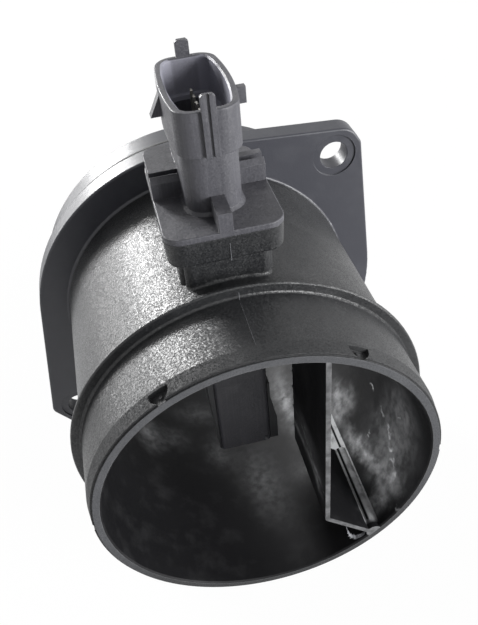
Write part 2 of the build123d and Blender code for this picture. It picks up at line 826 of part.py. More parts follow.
def make_chip_capacitors():
    """Row of chip capacitors below the package."""
    with BuildPart() as capacitors:
        with BuildSketch(side_plane(board_front_x)):
            with Locations((finger_mid_y, capacitor_height)):
                with GridLocations(capacitor_pitch, 0, capacitor_count, 1):
                    Rectangle(capacitor_width, capacitor_length)
        extrude(amount=-capacitor_thickness)
    return capacitors


def make_element_holder():
    """Tongue that hangs from the carrier into the bypass channel."""
    with BuildPart() as tongue:
        with BuildSketch(side_plane(carrier_front_x)) as outline:
            with Locations((finger_mid_y, tongue_bottom)):
                Rectangle(
                    tongue_width,
                    board_bay_bottom + tongue_overlap - tongue_bottom,
                    align=(Align.CENTER, Align.MIN),
                )
            fillet(outline.vertices().group_by(Axis.Y)[0], tongue_tip_corner)
        extrude(amount=-tongue_thickness)
    return tongue


def make_sensor_chip():
    """Measuring chip near the tip of the tongue."""
    with BuildPart() as chip:
        with BuildSketch(side_plane(carrier_front_x - tongue_thickness)):
            with Locations((finger_mid_y, tongue_bottom + chip_edge)):
                Rectangle(chip_width, chip_height, align=(Align.CENTER, Align.MIN))
        extrude(amount=-chip_thickness)
    return chip


def make_temperature_probe():
    """Bead with two bent wires that stand out of the finger's rear face."""
    bead_y = finger_back_y + probe_reach
    start_y = finger_back_y - probe_embed
    with BuildPart() as probe:
        with BuildLine(Plane(origin=(0, 0, probe_height))):
            route = FilletPolyline(
                (-probe_spread / 2, start_y),
                (-probe_spread / 2, bead_y),
                (probe_spread / 2, bead_y),
                (probe_spread / 2, start_y),
                radius=probe_wire_bend,
            )
        with BuildSketch(Plane(origin=route @ 0, z_dir=route % 0)):
            Circle(probe_wire_diameter / 2)
        sweep()
        with Locations((0, bead_y, probe_height)):
            Sphere(probe_bead_diameter / 2)
    return probe


def make_contact(index):
    """One flat pin: its foot lies on the board and its tip stands in the connector socket."""
    middle_y = stem_mid_y + (index - (contact_count - 1) / 2) * contact_pitch
    with BuildPart() as contact:
        with BuildSketch(Plane.XY.offset(contact_bottom)):
            with Locations((contact_mid_x, middle_y)):
                Rectangle(contact_thickness, contact_width)
        extrude(amount=contact_tip_height - contact_bottom)
        chamfer(contact.faces().sort_by(Axis.Z)[-1].edges(), contact_tip_chamfer)
    return contact


def make_sensor_seal_ring():
    """Rubber ring in the collar's groove, pressed lightly against the duct's socket."""
    inner_width = collar_width - 2 * collar_groove_depth + 2 * ring_clearance
    inner_length = collar_length - 2 * collar_groove_depth + 2 * ring_clearance
    with BuildPart() as ring:
        top = seat_height - collar_groove_offset - ring_clearance
        with BuildSketch(Plane.XY.offset(top)):
            with Locations((sensor_offset, socket_mid_y)):
                RectangleRounded(
                    socket_width - 2 * ring_clearance,
                    socket_length - 2 * ring_clearance,
                    socket_corner - ring_clearance,
                )
                RectangleRounded(
                    inner_width,
                    inner_length,
                    collar_corner - collar_groove_depth + ring_clearance,
                    mode=Mode.SUBTRACT,
                )
        extrude(amount=-(collar_groove_width - 2 * ring_clearance))
    return ring


def make_spigot_seal_ring():
    """Round-section rubber ring in the spigot's groove."""
    groove_floor = spigot_radius - seal_groove_depth
    cord_radius = seal_cord_diameter / 2
    middle_y = seal_groove_offset + seal_groove_width / 2
    with BuildPart() as ring:
        with BuildSketch(Plane.YZ):
            with Locations((middle_y, groove_floor + seal_floor_clearance + cord_radius)):
                Circle(cord_radius)
        revolve(axis=Axis.Y)
    return ring


makers = {
    "duct_housing": make_duct,
    "sensor_housing": make_sensor_housing,
    "electronics_cover": make_electronics_cover,
    "bypass_cover": make_bypass_cover,
    "carrier_plate": make_carrier_plate,
    "circuit_board": make_circuit_board,
    "evaluation_ic": make_evaluation_ic,
    "chip_capacitors": make_chip_capacitors,
    "element_holder": make_element_holder,
    "sensor_chip": make_sensor_chip,
    "temperature_probe": make_temperature_probe,
    "sensor_seal_ring": make_sensor_seal_ring,
    "spigot_seal_ring": make_spigot_seal_ring,
}

os.makedirs("parts", exist_ok=True)
for name, make in makers.items():
    piece = make()
    piece.part.label = name
    export_step(piece.part, f"parts/{name}.step")
for index in range(contact_count):
    contact = make_contact(index)
    contact.part.label = f"contact_{index + 1}"
    export_step(contact.part, f"parts/contact_{index + 1}.step")
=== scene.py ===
import math

import bmesh
import bpy
import numpy as np
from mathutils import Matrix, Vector


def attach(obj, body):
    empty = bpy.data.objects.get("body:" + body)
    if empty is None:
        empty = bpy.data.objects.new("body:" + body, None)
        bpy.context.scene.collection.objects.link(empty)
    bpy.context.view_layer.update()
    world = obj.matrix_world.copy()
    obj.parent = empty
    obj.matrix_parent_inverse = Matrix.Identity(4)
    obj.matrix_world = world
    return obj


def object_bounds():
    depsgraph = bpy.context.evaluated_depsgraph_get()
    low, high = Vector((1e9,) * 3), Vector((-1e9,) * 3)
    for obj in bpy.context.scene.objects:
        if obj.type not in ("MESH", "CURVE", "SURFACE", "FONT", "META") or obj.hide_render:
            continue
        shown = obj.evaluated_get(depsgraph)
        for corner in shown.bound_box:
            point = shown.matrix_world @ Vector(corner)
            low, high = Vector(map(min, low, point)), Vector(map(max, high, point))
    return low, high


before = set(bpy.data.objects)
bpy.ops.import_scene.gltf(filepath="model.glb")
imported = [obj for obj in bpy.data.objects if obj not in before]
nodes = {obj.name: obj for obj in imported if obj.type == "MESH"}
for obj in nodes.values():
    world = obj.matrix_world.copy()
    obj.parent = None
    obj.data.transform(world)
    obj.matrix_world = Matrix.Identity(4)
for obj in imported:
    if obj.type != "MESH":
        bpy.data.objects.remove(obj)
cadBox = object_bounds()
mm = 0.001
noiseSpan = (0.3, 0.7)  # most of a noise texture's values lie between these
print("frame loaded,", len(nodes), "nodes")


def linear(hexColour):
    # sRGB hex code to linear red, green, blue and a full alpha
    parts = [int(hexColour[i:i + 2], 16) / 255 for i in (1, 3, 5)]
    return [c / 12.92 if c <= 0.04045 else ((c + 0.055) / 1.055) ** 2.4 for c in parts] + [1.0]


def addNode(tree, kind, inputs=None, **settings):
    # one node: settings are its own properties; an input takes a value, or a link from a node or socket
    node = tree.nodes.new("ShaderNode" + kind)
    for name, value in settings.items():
        setattr(node, name, value)
    for key, value in (inputs or {}).items():
        if isinstance(value, bpy.types.Node):
            value = value.outputs[0]
        if isinstance(value, bpy.types.NodeSocket):
            tree.links.new(value, node.inputs[key])
        else:
            node.inputs[key].default_value = value
    return node


def newMaterial(name):
    material = bpy.data.materials.new(name)
    material.use_nodes = True
    material.node_tree.nodes.clear()
    return material, material.node_tree


def placeInMillimetres(tree):
    place = addNode(tree, "TexCoord").outputs["Object"]
    return addNode(tree, "VectorMath", {0: place, 1: (1 / mm,) * 3}, operation="MULTIPLY").outputs[0]


def paint(nodeName, material):
    # a CAD node keeps its mesh and takes the new finish in each of its slots
    for slot in nodes[nodeName].material_slots:
        slot.material = material


def softMarks(tree, where, marks, radius):
    # adds up soft oval marks on a cylinder's unrolled wall; angle and turn are in degrees
    amount = 0.0
    for angle, along, halfWidth, halfLength, turn, strength in marks:
        spot = addNode(tree, "Mapping", {
            "Vector": where, "Location": (math.radians(angle) * radius, along, 0),
            "Rotation": (0, 0, math.radians(turn)), "Scale": (halfWidth, halfLength, 1),
        }, vector_type="TEXTURE")
        soft = addNode(tree, "TexGradient", {"Vector": spot}, gradient_type="QUADRATIC_SPHERE")
        amount = addNode(tree, "Math", {
            0: soft.outputs["Fac"], 1: strength, 2: amount,
        }, operation="MULTIPLY_ADD")
    return amount


def facetNormal(tree, place, size, tilt, normal):
    # each cell of the given size, in mm, turns the normal its own way: normal + tilt * (random - 0.5)
    cells = addNode(tree, "TexVoronoi", {"Vector": place, "Scale": 1 / size}).outputs["Color"]
    turned = addNode(tree, "VectorMath", {0: cells, 1: (0.5, 0.5, 0.5)}, operation="SUBTRACT")
    turned = addNode(tree, "VectorMath", {0: turned, "Scale": tilt}, operation="SCALE")
    turned = addNode(tree, "VectorMath", {0: turned, 1: normal}, operation="ADD")
    return addNode(tree, "VectorMath", {0: turned}, operation="NORMALIZE")


# Black glass-filled nylon, injection moulded. The barrel was cut in the tool by spark erosion, which
# leaves tiny facets that break a highlight into specks; facets, grain and pits are drawn coarser than
# the real ones so that they show. The flange is smoother. The bore takes a darker colour, as painted
# shade inside the tube, and a lower specular level that takes most of its shine off; dust, painted
# light and painted shade lie on it in marks.
ductFinish = {
    "barrelColour": "#161719", "flangeColour": "#2c2d34", "boreShadedColour": "#0d0d0f",
    "leadInColour": "#131416", "ringColour": "#37383b", "dustColour": "#b4b5b7", "jointAndShadeColour": "#08080a",
    "ior": 1.5, "specular": 0.5, "boreSpecular": 0.15,
    "barrelRough": 0.4, "flangeRough": 0.42, "boreRough": 0.6, "leadInRough": 0.62,
    # what the mottle, the dust and the pits add to the roughness, and what then comes off it
    "mottleRough": 0.2, "dustRough": 0.35, "pitRough": 0.34, "polish": 0.1,
    # sizes in mm
    "grain": 0.45, "pit": 0.4, "facet": 0.26, "grainDepth": 0.01, "edge": 0.25,
    "cloud": 8.333, "mottle": 2.5, "ripple": 2.857, "rippleReach": 5.0, "boreRadius": 40.75,
    # relief: the smooth parts' share of the grain, how far facets tilt, and a pit's share of the depth
    "smoothGrain": 0.12, "smoothTilt": 0.03, "facetTilt": 0.26, "pitDepth": 0.25,
    # the noise at which pits, haze and breaks in the dust start and end, and what breaks scale it by
    "pitSpan": (0.5, 0.62), "hazeSpan": (0.5, 0.75), "brokenSpan": (0.35, 0.62), "broken": (0.5, 1.25),
    # amounts of dust, and of painted light on the tube's left flank, from 0 to 1
    "haze": 0.025, "flankDust": 0.16, "edgeDust": 0.22,
    # the bead along the partition's foot: its line, and the joint on its crest in degrees and mm
    "beadMiddle": (27.5, 0, -30.1), "jointAngle": -46.6, "joint": (0.5, 0.25),
    # where each zone's mask is 0 and where it is 1, in mm
    "zones": {
        "inside": (41.3, 41.1),  # radius, round the bore and what stands in it
        "barrel": (-6.4, -6.8),  # y, all that lies in front of the flange
        "leadIn": (-77.9, -78.0),  # y
        "ring": (-81.7, -81.9),  # y, the mouth's flat ring
        "ringAbovePaintedShade": (-32.0, -4.0),  # z, where the ring's paler grey fades out downwards; its darker lower part is painted shade
        "bead": (2.6, 2.3),  # from the bead's line
        "behindLip": (-80.6, -79.0),  # y, where the bead's pale stretch, a painted highlight, starts
        "flank": (-31.0, -41.5),  # x, the tube's left flank, which takes painted light
        "behindRib": (-60.0, -58.0),  # y, the tube behind the stop rib
        "facingMouth": (-0.9, -0.97),  # the normal's y, as on the partition's front edge
    },
    # marks on the bore: degrees from +X towards +Z, y, half width, half length, turn, strength
    "dustAndPaintedLightMarks": [
        # the side channel: dust, with painted reflection of the light that comes in through the duct's far
        # end
        (-38, -37, 8, 10, 0, 0.6), (-33, -42, 7, 6, 30, 0.4), (-42, -43, 5, 8, 0, 0.5),
        (-37, -57, 5, 5, 0, 0.6), (-36.6, -62, 4, 7, 10, 0.6), (-40, -53, 4, 8, 0, 0.6),
        (-31, -74, 7, 8, 0, 0.6), (-38.6, -75, 4.5, 6, 0, 0.6), (-42.6, -76, 4, 5, 0, 0.5),
        (-34, -68, 8, 12, 0, 0.4),
        # dried drops down the channel
        (-16, -48, 0.8, 1.6, 20, 1.2), (-18, -57, 0.8, 2.0, 10, 0.9), (-19.5, -62, 0.8, 2.2, -20, 0.9),
        (-20, -64, 0.9, 1.4, 0, 0.9), (-23.5, -67, 1.1, 1.8, 30, 0.9), (-26, -70, 1.0, 1.8, 0, 0.8),
        (-28, -74, 1.1, 2.0, -20, 0.9), (-10, -65, 0.8, 1.2, 0, 0.6), (-30, -57, 0.8, 1.3, 0, 0.7),
        (-32, -57.5, 0.7, 1.2, 0, 0.7), (-34, -81, 0.9, 1.0, 0, 1.2),
        # a wide thin veil over the channel
        (-22, -66, 16, 22, 0, 0.3), (-5, -66, 15, 18, 0, 0.22),
        # the bore's floor and its left wall; the first mark, the strongest, is painted light from the duct's
        # far end
        (-62.5, -24, 6, 26, 0, 0.7), (-66, -52, 7, 9, 20, 0.16), (-84, -50, 12, 26, 10, 0.2),
        (-100, -36, 8, 12, 0, 0.16), (-106, -19, 14, 8, 0, 0.18), (-120, -30, 10, 8, -20, 0.2),
        (-133, -30, 9, 12, 10, 0.5),
    ],
    "paintedShadeMarks": [
        # painted shade, mostly in the side channel
        (-27, -33, 4, 7, 0, 0.6), (-24, -42, 6, 6, 20, 0.9), (-18, -52, 6, 6, 30, 0.7),
        (-6, -57, 9, 4.5, 10, 0.5), (-42, -70, 3, 4, 0, 0.5), (-34, -81.4, 2.4, 2, 0, 0.5),
        (-8, -78, 12, 4, 0, 0.4), (-63, -23, 8, 0.8, 15, 0.6),
    ],
}


def ductZones(tree, place, axes):
    # one mask from 0 to 1 for each part of the duct that has a finish of its own
    f = ductFinish
    level = addNode(tree, "VectorMath", {0: place, 1: (1, 0, 1)}, operation="MULTIPLY")
    radius = addNode(tree, "VectorMath", {0: level}, operation="LENGTH").outputs["Value"]
    fromBead = addNode(tree, "VectorMath", {0: level, 1: f["beadMiddle"]}, operation="DISTANCE")
    normal = addNode(tree, "SeparateXYZ", {0: addNode(tree, "NewGeometry").outputs["Normal"]})
    measured = {
        "inside": radius, "barrel": axes["Y"], "leadIn": axes["Y"], "ring": axes["Y"],
        "ringAbovePaintedShade": axes["Z"], "bead": fromBead.outputs["Value"], "behindLip": axes["Y"],
        "flank": axes["X"], "behindRib": axes["Y"], "facingMouth": normal.outputs["Y"],
    }
    masks = {}
    for zone, measure in measured.items():
        none, full = f["zones"][zone]
        masks[zone] = addNode(tree, "MapRange", {"Value": measure, "From Min": none, "From Max": full})
    masks["outside"] = addNode(tree, "Math", {0: 1.0, 1: masks["inside"]}, operation="SUBTRACT")
    # some zones hold only within another
    for zone, within in [
        ("barrel", "outside"), ("leadIn", "outside"), ("ring", "ringAbovePaintedShade"), ("bead", "behindLip"),
        ("flank", "behindRib"), ("facingMouth", "inside"),
    ]:
        masks[zone] = addNode(tree, "Math", {0: masks[zone], 1: masks[within]}, operation="MULTIPLY")
    return masks


def ductResidue(tree, place, axes, masks, mottle):
    # how pale the skin turns, with dust and painted light, and how dark, with the bead's joint and painted
    # shade
    f = ductFinish
    # round the bore and along it, in mm, so that marks follow its wall; a ripple frays their outlines
    angle = addNode(tree, "Math", {0: axes["Z"], 1: axes["X"]}, operation="ARCTAN2")
    around = addNode(tree, "Math", {0: angle, 1: f["boreRadius"]}, operation="MULTIPLY")
    unrolled = addNode(tree, "CombineXYZ", {0: around, 1: axes["Y"]})
    ripple = addNode(tree, "TexNoise", {"Vector": place, "Scale": 1 / f["ripple"], "Detail": 3.0})
    reach = f["rippleReach"]
    shift = addNode(tree, "VectorMath", {
        0: ripple.outputs["Color"], 1: (reach, reach, 0), 2: (-reach / 2, -reach / 2, 0),
    }, operation="MULTIPLY_ADD")
    frayed = addNode(tree, "VectorMath", {0: unrolled, 1: shift}, operation="ADD")
    light = softMarks(tree, frayed, f["dustAndPaintedLightMarks"], f["boreRadius"])
    dark = softMarks(tree, frayed, f["paintedShadeMarks"], f["boreRadius"])

    # a dark joint runs straight along the crest of the bead
    crest = math.radians(f["jointAngle"]) * f["boreRadius"]
    beyond = addNode(tree, "Math", {0: around, 1: crest}, operation="SUBTRACT")
    beyond = addNode(tree, "Math", {0: beyond}, operation="ABSOLUTE")
    joint = addNode(tree, "MapRange", {
        "Value": beyond, "From Min": f["joint"][0], "From Max": f["joint"][1],
    })
    dark = addNode(tree, "Math", {0: joint, 1: masks["bead"], 2: dark}, operation="MULTIPLY_ADD")
    dark = addNode(tree, "Math", {0: dark, 1: masks["inside"]}, operation="MULTIPLY", use_clamp=True)

    # the mottle breaks up the dust and painted light; the partition's front edge is rubbed pale, and the
    # bead's pale stretch is a painted highlight
    broken = addNode(tree, "MapRange", {
        "Value": mottle, "From Min": f["brokenSpan"][0], "From Max": f["brokenSpan"][1],
        "To Min": f["broken"][0], "To Max": f["broken"][1],
    })
    light = addNode(tree, "Math", {0: light, 1: broken}, operation="MULTIPLY")
    light = addNode(tree, "Math", {0: light, 1: masks["inside"]}, operation="MULTIPLY", use_clamp=True)
    rubbedEdgeAndBeadHighlight = addNode(tree, "Math", {
        0: masks["facingMouth"], 1: f["edgeDust"], 2: masks["bead"],
    }, operation="MULTIPLY_ADD")
    light = addNode(tree, "Math", {0: rubbedEdgeAndBeadHighlight, 1: broken, 2: light}, operation="MULTIPLY_ADD")

    # a thin haze of dust lies in clouds all over, and the tube's left flank is painted evenly lighter, as
    # painted light
    cloud = addNode(tree, "TexNoise", {
        "Vector": place, "Scale": 1 / f["cloud"], "Detail": 5.0, "Roughness": 0.6,
    }).outputs["Fac"]
    haze = addNode(tree, "MapRange", {
        "Value": cloud, "From Min": f["hazeSpan"][0], "From Max": f["hazeSpan"][1], "To Max": f["haze"],
    })
    flank = addNode(tree, "Math", {0: masks["flank"], 1: f["flankDust"]}, operation="MULTIPLY")
    haze = addNode(tree, "Math", {0: flank, 1: masks["barrel"], 2: haze}, operation="MULTIPLY_ADD")
    dust = addNode(tree, "Math", {0: light, 1: haze}, operation="ADD", use_clamp=True)
    return dust, dark


def ductNylon():
    f = ductFinish
    material, tree = newMaterial("mouldedGlassFilledNylon")
    place = placeInMillimetres(tree)
    axes = addNode(tree, "SeparateXYZ", {0: place}).outputs
    masks = ductZones(tree, place, axes)
    mottle = addNode(tree, "TexNoise", {
        "Vector": place, "Scale": 1 / f["mottle"], "Detail": 4.0, "Roughness": 0.55,
    }).outputs["Fac"]
    # the dark amount is the bead's joint and painted shade
    dust, jointAndShade = ductResidue(tree, place, axes, masks, mottle)
    grain = addNode(tree, "TexNoise", {
        "Vector": place, "Scale": 1 / f["grain"], "Detail": 1.5,
    }).outputs["Fac"]
    pits = addNode(tree, "TexNoise", {
        "Vector": place, "Scale": 1 / f["pit"], "Detail": 3.0, "Roughness": 0.7,
    }).outputs["Fac"]
    pits = addNode(tree, "MapRange", {
        "Value": pits, "From Min": f["pitSpan"][0], "From Max": f["pitSpan"][1],
    })
    pits = addNode(tree, "Math", {0: pits, 1: masks["barrel"]}, operation="MULTIPLY")

    # each colour is laid over the ones before it
    skin = linear(f["flangeColour"])
    for amount, colour in [
        (masks["barrel"], "barrelColour"), (masks["leadIn"], "leadInColour"), (masks["ring"], "ringColour"),
        (masks["inside"], "boreShadedColour"), (dust, "dustColour"), (jointAndShade, "jointAndShadeColour"),
    ]:
        skin = addNode(tree, "MixRGB", {"Fac": amount, "Color1": skin, "Color2": linear(f[colour])})

    rough = addNode(tree, "MapRange", {
        "Value": masks["barrel"], "To Min": f["flangeRough"], "To Max": f["barrelRough"],
    })
    for amount, level in [(masks["leadIn"], "leadInRough"), (masks["inside"], "boreRough")]:
        rough = addNode(tree, "MixRGB", {"Fac": amount, "Color1": rough, "Color2": (f[level],) * 3 + (1,)})
    for amount, gain in [(mottle, "mottleRough"), (dust, "dustRough"), (pits, "pitRough")]:
        rough = addNode(tree, "Math", {0: amount, 1: f[gain], 2: rough}, operation="MULTIPLY_ADD")
    rough = addNode(tree, "Math", {0: rough, 1: f["polish"]}, operation="SUBTRACT", use_clamp=True)

    # a low grain with pits in it, over facets, over eased edges
    share = addNode(tree, "MapRange", {"Value": masks["barrel"], "To Min": f["smoothGrain"], "To Max": 1.0})
    height = addNode(tree, "Math", {0: grain, 1: share}, operation="MULTIPLY")
    height = addNode(tree, "Math", {0: pits, 1: -f["pitDepth"], 2: height}, operation="MULTIPLY_ADD")
    tilt = addNode(tree, "MapRange", {
        "Value": masks["barrel"], "To Min": f["smoothTilt"], "To Max": f["facetTilt"],
    })
    eased = addNode(tree, "Bevel", {"Radius": f["edge"] * mm}, samples=6)
    bump = addNode(tree, "Bump", {
        "Height": height, "Strength": 1.0, "Distance": f["grainDepth"] * mm,
        "Normal": facetNormal(tree, place, f["facet"], tilt, eased),
    })
    clean = addNode(tree, "BsdfPrincipled", {
        "Base Color": skin, "Roughness": rough, "IOR": f["ior"], "Specular IOR Level": f["specular"],
        "Normal": bump,
    })
    # inside the bore: a lower specular level, over a darker colour that is painted shade
    dimmedInside = addNode(tree, "BsdfPrincipled", {
        "Base Color": skin, "Roughness": rough, "IOR": f["ior"], "Specular IOR Level": f["boreSpecular"],
        "Normal": bump,
    })
    shader = addNode(tree, "MixShader", {0: masks["inside"], 1: clean, 2: dimmedInside})
    addNode(tree, "OutputMaterial", {"Surface": shader})
    return material


# Black glass-filled polyester, injection moulded in a finer tool: a greyer, drier satin than the
# duct, with dust on the flats and faint streaks drawn in Z. Its facets and grain are drawn coarser
# than the real ones so that they show. The socket's inner walls are painted paler, as painted light.
sensorFinish = {
    "colour": "#3c3c41", "dustColour": "#9a999d", "socketPaintedLightColour": "#85858f",
    "ior": 1.5, "specular": 0.45, "rough": (0.45, 0.58),
    # sizes in mm
    "grain": 0.45, "grainDepth": 0.04, "facet": 0.36, "edge": 0.2, "cloud": 4.545,
    "streak": 0.5, "streakLength": 12.5,
    "facetTilt": 0.16, "flatDust": 0.13, "streakDust": 0.06,
    # the noise at which dust and streaks start and end, and the normal's z at which a face is a flat
    "patchSpan": (0.42, 0.7), "streakSpan": (0.45, 0.75), "flatSpan": (0.8, 0.97),
    # the socket's box in mm, and how near its sides, as a share, the painted light on its walls starts
    "socketMiddle": (-0.5, -35.6, 79.2), "socketHalf": (6.6, 14.1, 4.9), "socketSpan": (1.0, 0.98),
}


def socketMask(tree, place):
    # 1 within the box, on faces turned to its middle: there normal . (place - middle) is below zero
    f = sensorFinish
    centred = addNode(tree, "VectorMath", {0: place, 1: f["socketMiddle"]}, operation="SUBTRACT")
    spread = addNode(tree, "VectorMath", {0: centred}, operation="ABSOLUTE")
    spread = addNode(tree, "VectorMath", {0: spread, 1: f["socketHalf"]}, operation="DIVIDE")
    sides = addNode(tree, "SeparateXYZ", {0: spread}).outputs
    widest = addNode(tree, "Math", {0: sides["X"], 1: sides["Y"]}, operation="MAXIMUM")
    widest = addNode(tree, "Math", {0: widest, 1: sides["Z"]}, operation="MAXIMUM")
    boxed = addNode(tree, "MapRange", {
        "Value": widest, "From Min": f["socketSpan"][0], "From Max": f["socketSpan"][1],
    })
    normal = addNode(tree, "NewGeometry").outputs["Normal"]
    inward = addNode(tree, "VectorMath", {0: centred, 1: normal}, operation="DOT_PRODUCT")
    inward = addNode(tree, "Math", {0: inward.outputs["Value"], 1: 0.0}, operation="LESS_THAN")
    return addNode(tree, "Math", {0: boxed, 1: inward}, operation="MULTIPLY")


def sensorPolyester():
    f = sensorFinish
    material, tree = newMaterial("mouldedFilledPolyester")
    place = placeInMillimetres(tree)
    grain = addNode(tree, "TexNoise", {
        "Vector": place, "Scale": 1 / f["grain"], "Detail": 2.0,
    }).outputs["Fac"]
    cloud = addNode(tree, "TexNoise", {
        "Vector": place, "Scale": 1 / f["cloud"], "Detail": 5.0,
    }).outputs["Fac"]
    # streaks are narrow across and long in Z, as ejection leaves them
    drawn = addNode(tree, "Mapping", {
        "Vector": place, "Scale": (1 / f["streak"], 1 / f["streak"], 1 / f["streakLength"]),
    })
    streak = addNode(tree, "TexNoise", {"Vector": drawn, "Scale": 1.0, "Detail": 3.0}).outputs["Fac"]
    lines = addNode(tree, "MapRange", {
        "Value": streak, "From Min": f["streakSpan"][0], "From Max": f["streakSpan"][1],
        "To Max": f["streakDust"],
    })
    # flats, such as the plate and the bridge, gather dust in broken patches
    up = addNode(tree, "SeparateXYZ", {0: addNode(tree, "NewGeometry").outputs["Normal"]}).outputs["Z"]
    flat = addNode(tree, "MapRange", {
        "Value": up, "From Min": f["flatSpan"][0], "From Max": f["flatSpan"][1],
    })
    patch = addNode(tree, "MapRange", {
        "Value": cloud, "From Min": f["patchSpan"][0], "From Max": f["patchSpan"][1],
        "To Max": f["flatDust"],
    })
    dust = addNode(tree, "Math", {0: flat, 1: patch, 2: lines}, operation="MULTIPLY_ADD")
    skin = linear(f["colour"])
    # the socket's inner walls take a paler colour, as painted light
    for amount, colour in [(dust, "dustColour"), (socketMask(tree, place), "socketPaintedLightColour")]:
        skin = addNode(tree, "MixRGB", {"Fac": amount, "Color1": skin, "Color2": linear(f[colour])})
    rough = addNode(tree, "MapRange", {
        "Value": cloud, "From Min": noiseSpan[0], "From Max": noiseSpan[1],
        "To Min": f["rough"][0], "To Max": f["rough"][1],
    })
    eased = addNode(tree, "Bevel", {"Radius": f["edge"] * mm}, samples=6)
    bump = addNode(tree, "Bump", {
        "Height": grain, "Strength": 1.0, "Distance": f["grainDepth"] * mm,
        "Normal": facetNormal(tree, place, f["facet"], f["facetTilt"], eased),
    })
    shader = addNode(tree, "BsdfPrincipled", {
        "Base Color": skin, "Roughness": rough, "IOR": f["ior"], "Specular IOR Level": f["specular"],
        "Normal": bump,
    })
    addNode(tree, "OutputMaterial", {"Surface": shader})
    return material


def plainFinish(name, colour, rough, metallic=0.0, grain=0.5, depth=0.01, spread=0.06, shade=0.8):
    # an even finish: a noise of the given grain, in mm, darkens the colour to shade times itself at
    # most, varies the roughness by spread either way and raises the surface by depth, in mm
    material, tree = newMaterial(name)
    place = placeInMillimetres(tree)
    noise = addNode(tree, "TexNoise", {"Vector": place, "Scale": 1 / grain, "Detail": 3.0}).outputs["Fac"]
    bump = addNode(tree, "Bump", {"Height": noise, "Strength": 1.0, "Distance": depth * mm})
    shaded = [c * shade for c in linear(colour)[:3]] + [1.0]
    skin = addNode(tree, "MixRGB", {"Fac": noise, "Color1": shaded, "Color2": linear(colour)})
    roughness = addNode(tree, "MapRange", {
        "Value": noise, "From Min": noiseSpan[0], "From Max": noiseSpan[1],
        "To Min": rough - spread, "To Max": rough + spread,
    })
    shader = addNode(tree, "BsdfPrincipled", {
        "Base Color": skin, "Metallic": metallic, "Normal": bump, "Roughness": roughness,
    })
    addNode(tree, "OutputMaterial", {"Surface": shader})
    return material


paint("duct_housing", ductNylon())
paint("sensor_housing", sensorPolyester())
# Moulded polyester lids: a darker skin than the housing's, even and free of dust
lidPolyester = plainFinish("mouldedLidPolyester", "#202124", rough=0.5, depth=0.04)
paint("electronics_cover", lidPolyester)
paint("bypass_cover", lidPolyester)
# Stamped aluminium sheet: bright, with the rolling's fine haze
paint("carrier_plate", plainFinish("stampedAluminium", "#c9cacc", rough=0.35, metallic=1.0, grain=0.2))
# Glass laminate under solder resist: glossy green
paint("circuit_board", plainFinish("coatedGlassLaminate", "#1f5a35", rough=0.35, grain=0.8))
# Moulded epoxy: dull black with a fine matt grain
paint("evaluation_ic", plainFinish("mouldedEpoxyPackage", "#1a1a1b", rough=0.6, grain=0.15, depth=0.02))
# Fired ceramic body: warm brown, smooth
paint("chip_capacitors", plainFinish("firedCeramic", "#a98560", rough=0.5, grain=0.3))
# Moulded epoxy tongue: a little glossier and paler than the package
paint("element_holder", plainFinish("mouldedEpoxyTongue", "#1d1d1f", rough=0.5, grain=0.3, depth=0.02))
# Polished silicon: near mirror, bluish grey
chipSilicon = plainFinish("polishedSilicon", "#5b5d75", rough=0.12, metallic=0.6, grain=0.6, depth=0.0)
paint("sensor_chip", chipSilicon)
# Dipped epoxy: glossy dark brown bead
probeEpoxy = plainFinish("dippedEpoxyBead", "#3a2a1c", rough=0.2, grain=0.6, depth=0.005, spread=0.03)
paint("temperature_probe", probeEpoxy)
# Moulded nitrile rubber: dull, even black
sealRubber = plainFinish("mouldedNitrileRubber", "#1b1b1c", rough=0.6, grain=0.25, depth=0.02)
paint("sensor_seal_ring", sealRubber)
paint("spigot_seal_ring", sealRubber)
# Tinned bronze: soft grey shine, dulled by handling
contactTin = plainFinish("tinnedBronze", "#8f8d88", rough=0.45, metallic=1.0, grain=0.3)
for nodeName in nodes:
    if nodeName.startswith("contact_"):
        paint(nodeName, contactTin)
# Nylon flash, where it squeezed out or tore: paler and drier than the skin around it
flashNylon = plainFinish("tornNylonFlash", "#6a6b6f", rough=0.55, grain=0.3, depth=0.03)
print("materials on the frame's nodes")


def addPiece(name, points, faces, material):
    # points and faces are lists of arrays: rows of x, y and z in mm, and rows of three or four corners
    mesh = bpy.data.meshes.new(name)
    corners = [row for block in faces for row in block.tolist()]
    mesh.from_pydata((np.concatenate(points) * mm).tolist(), [], corners)
    piece = bpy.data.objects.new(name, mesh)
    bpy.context.scene.collection.objects.link(piece)
    shape = bmesh.new()
    shape.from_mesh(mesh)
    bmesh.ops.recalc_face_normals(shape, faces=shape.faces)
    shape.to_mesh(mesh)
    shape.free()
    mesh.materials.append(material)
    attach(piece, "root")
    return piece


# fine raised line where the tool's halves met, over the top of the duct; mm
partingLine = {
    # start, end and the way out of the surface, for the seat, the stop rib and the neck
    "runs": [
        ((0.15, -57.0, 50.9), (0.13, -57.0, 55.6), (0, -1, 0)),
        ((0.0, -62.9, 46.3), (0.0, -62.9, 44.3), (0, -1, 0)),
        ((0.0, -63.4, 44.0), (0.0, -77.8, 44.0), (0, 0, 1)),
    ],
    "halfWidth": 0.09, "height": 0.08, "sink": 0.1, "steps": 160,
    "fade": 12,  # the height is full one twelfth of the way in from each end
    # the height's level and swing, and how fast it swings, in radians for each mm of y and z
    "level": 0.75, "swing": 0.25, "swingY": 5.1, "swingZ": 3.7,
}


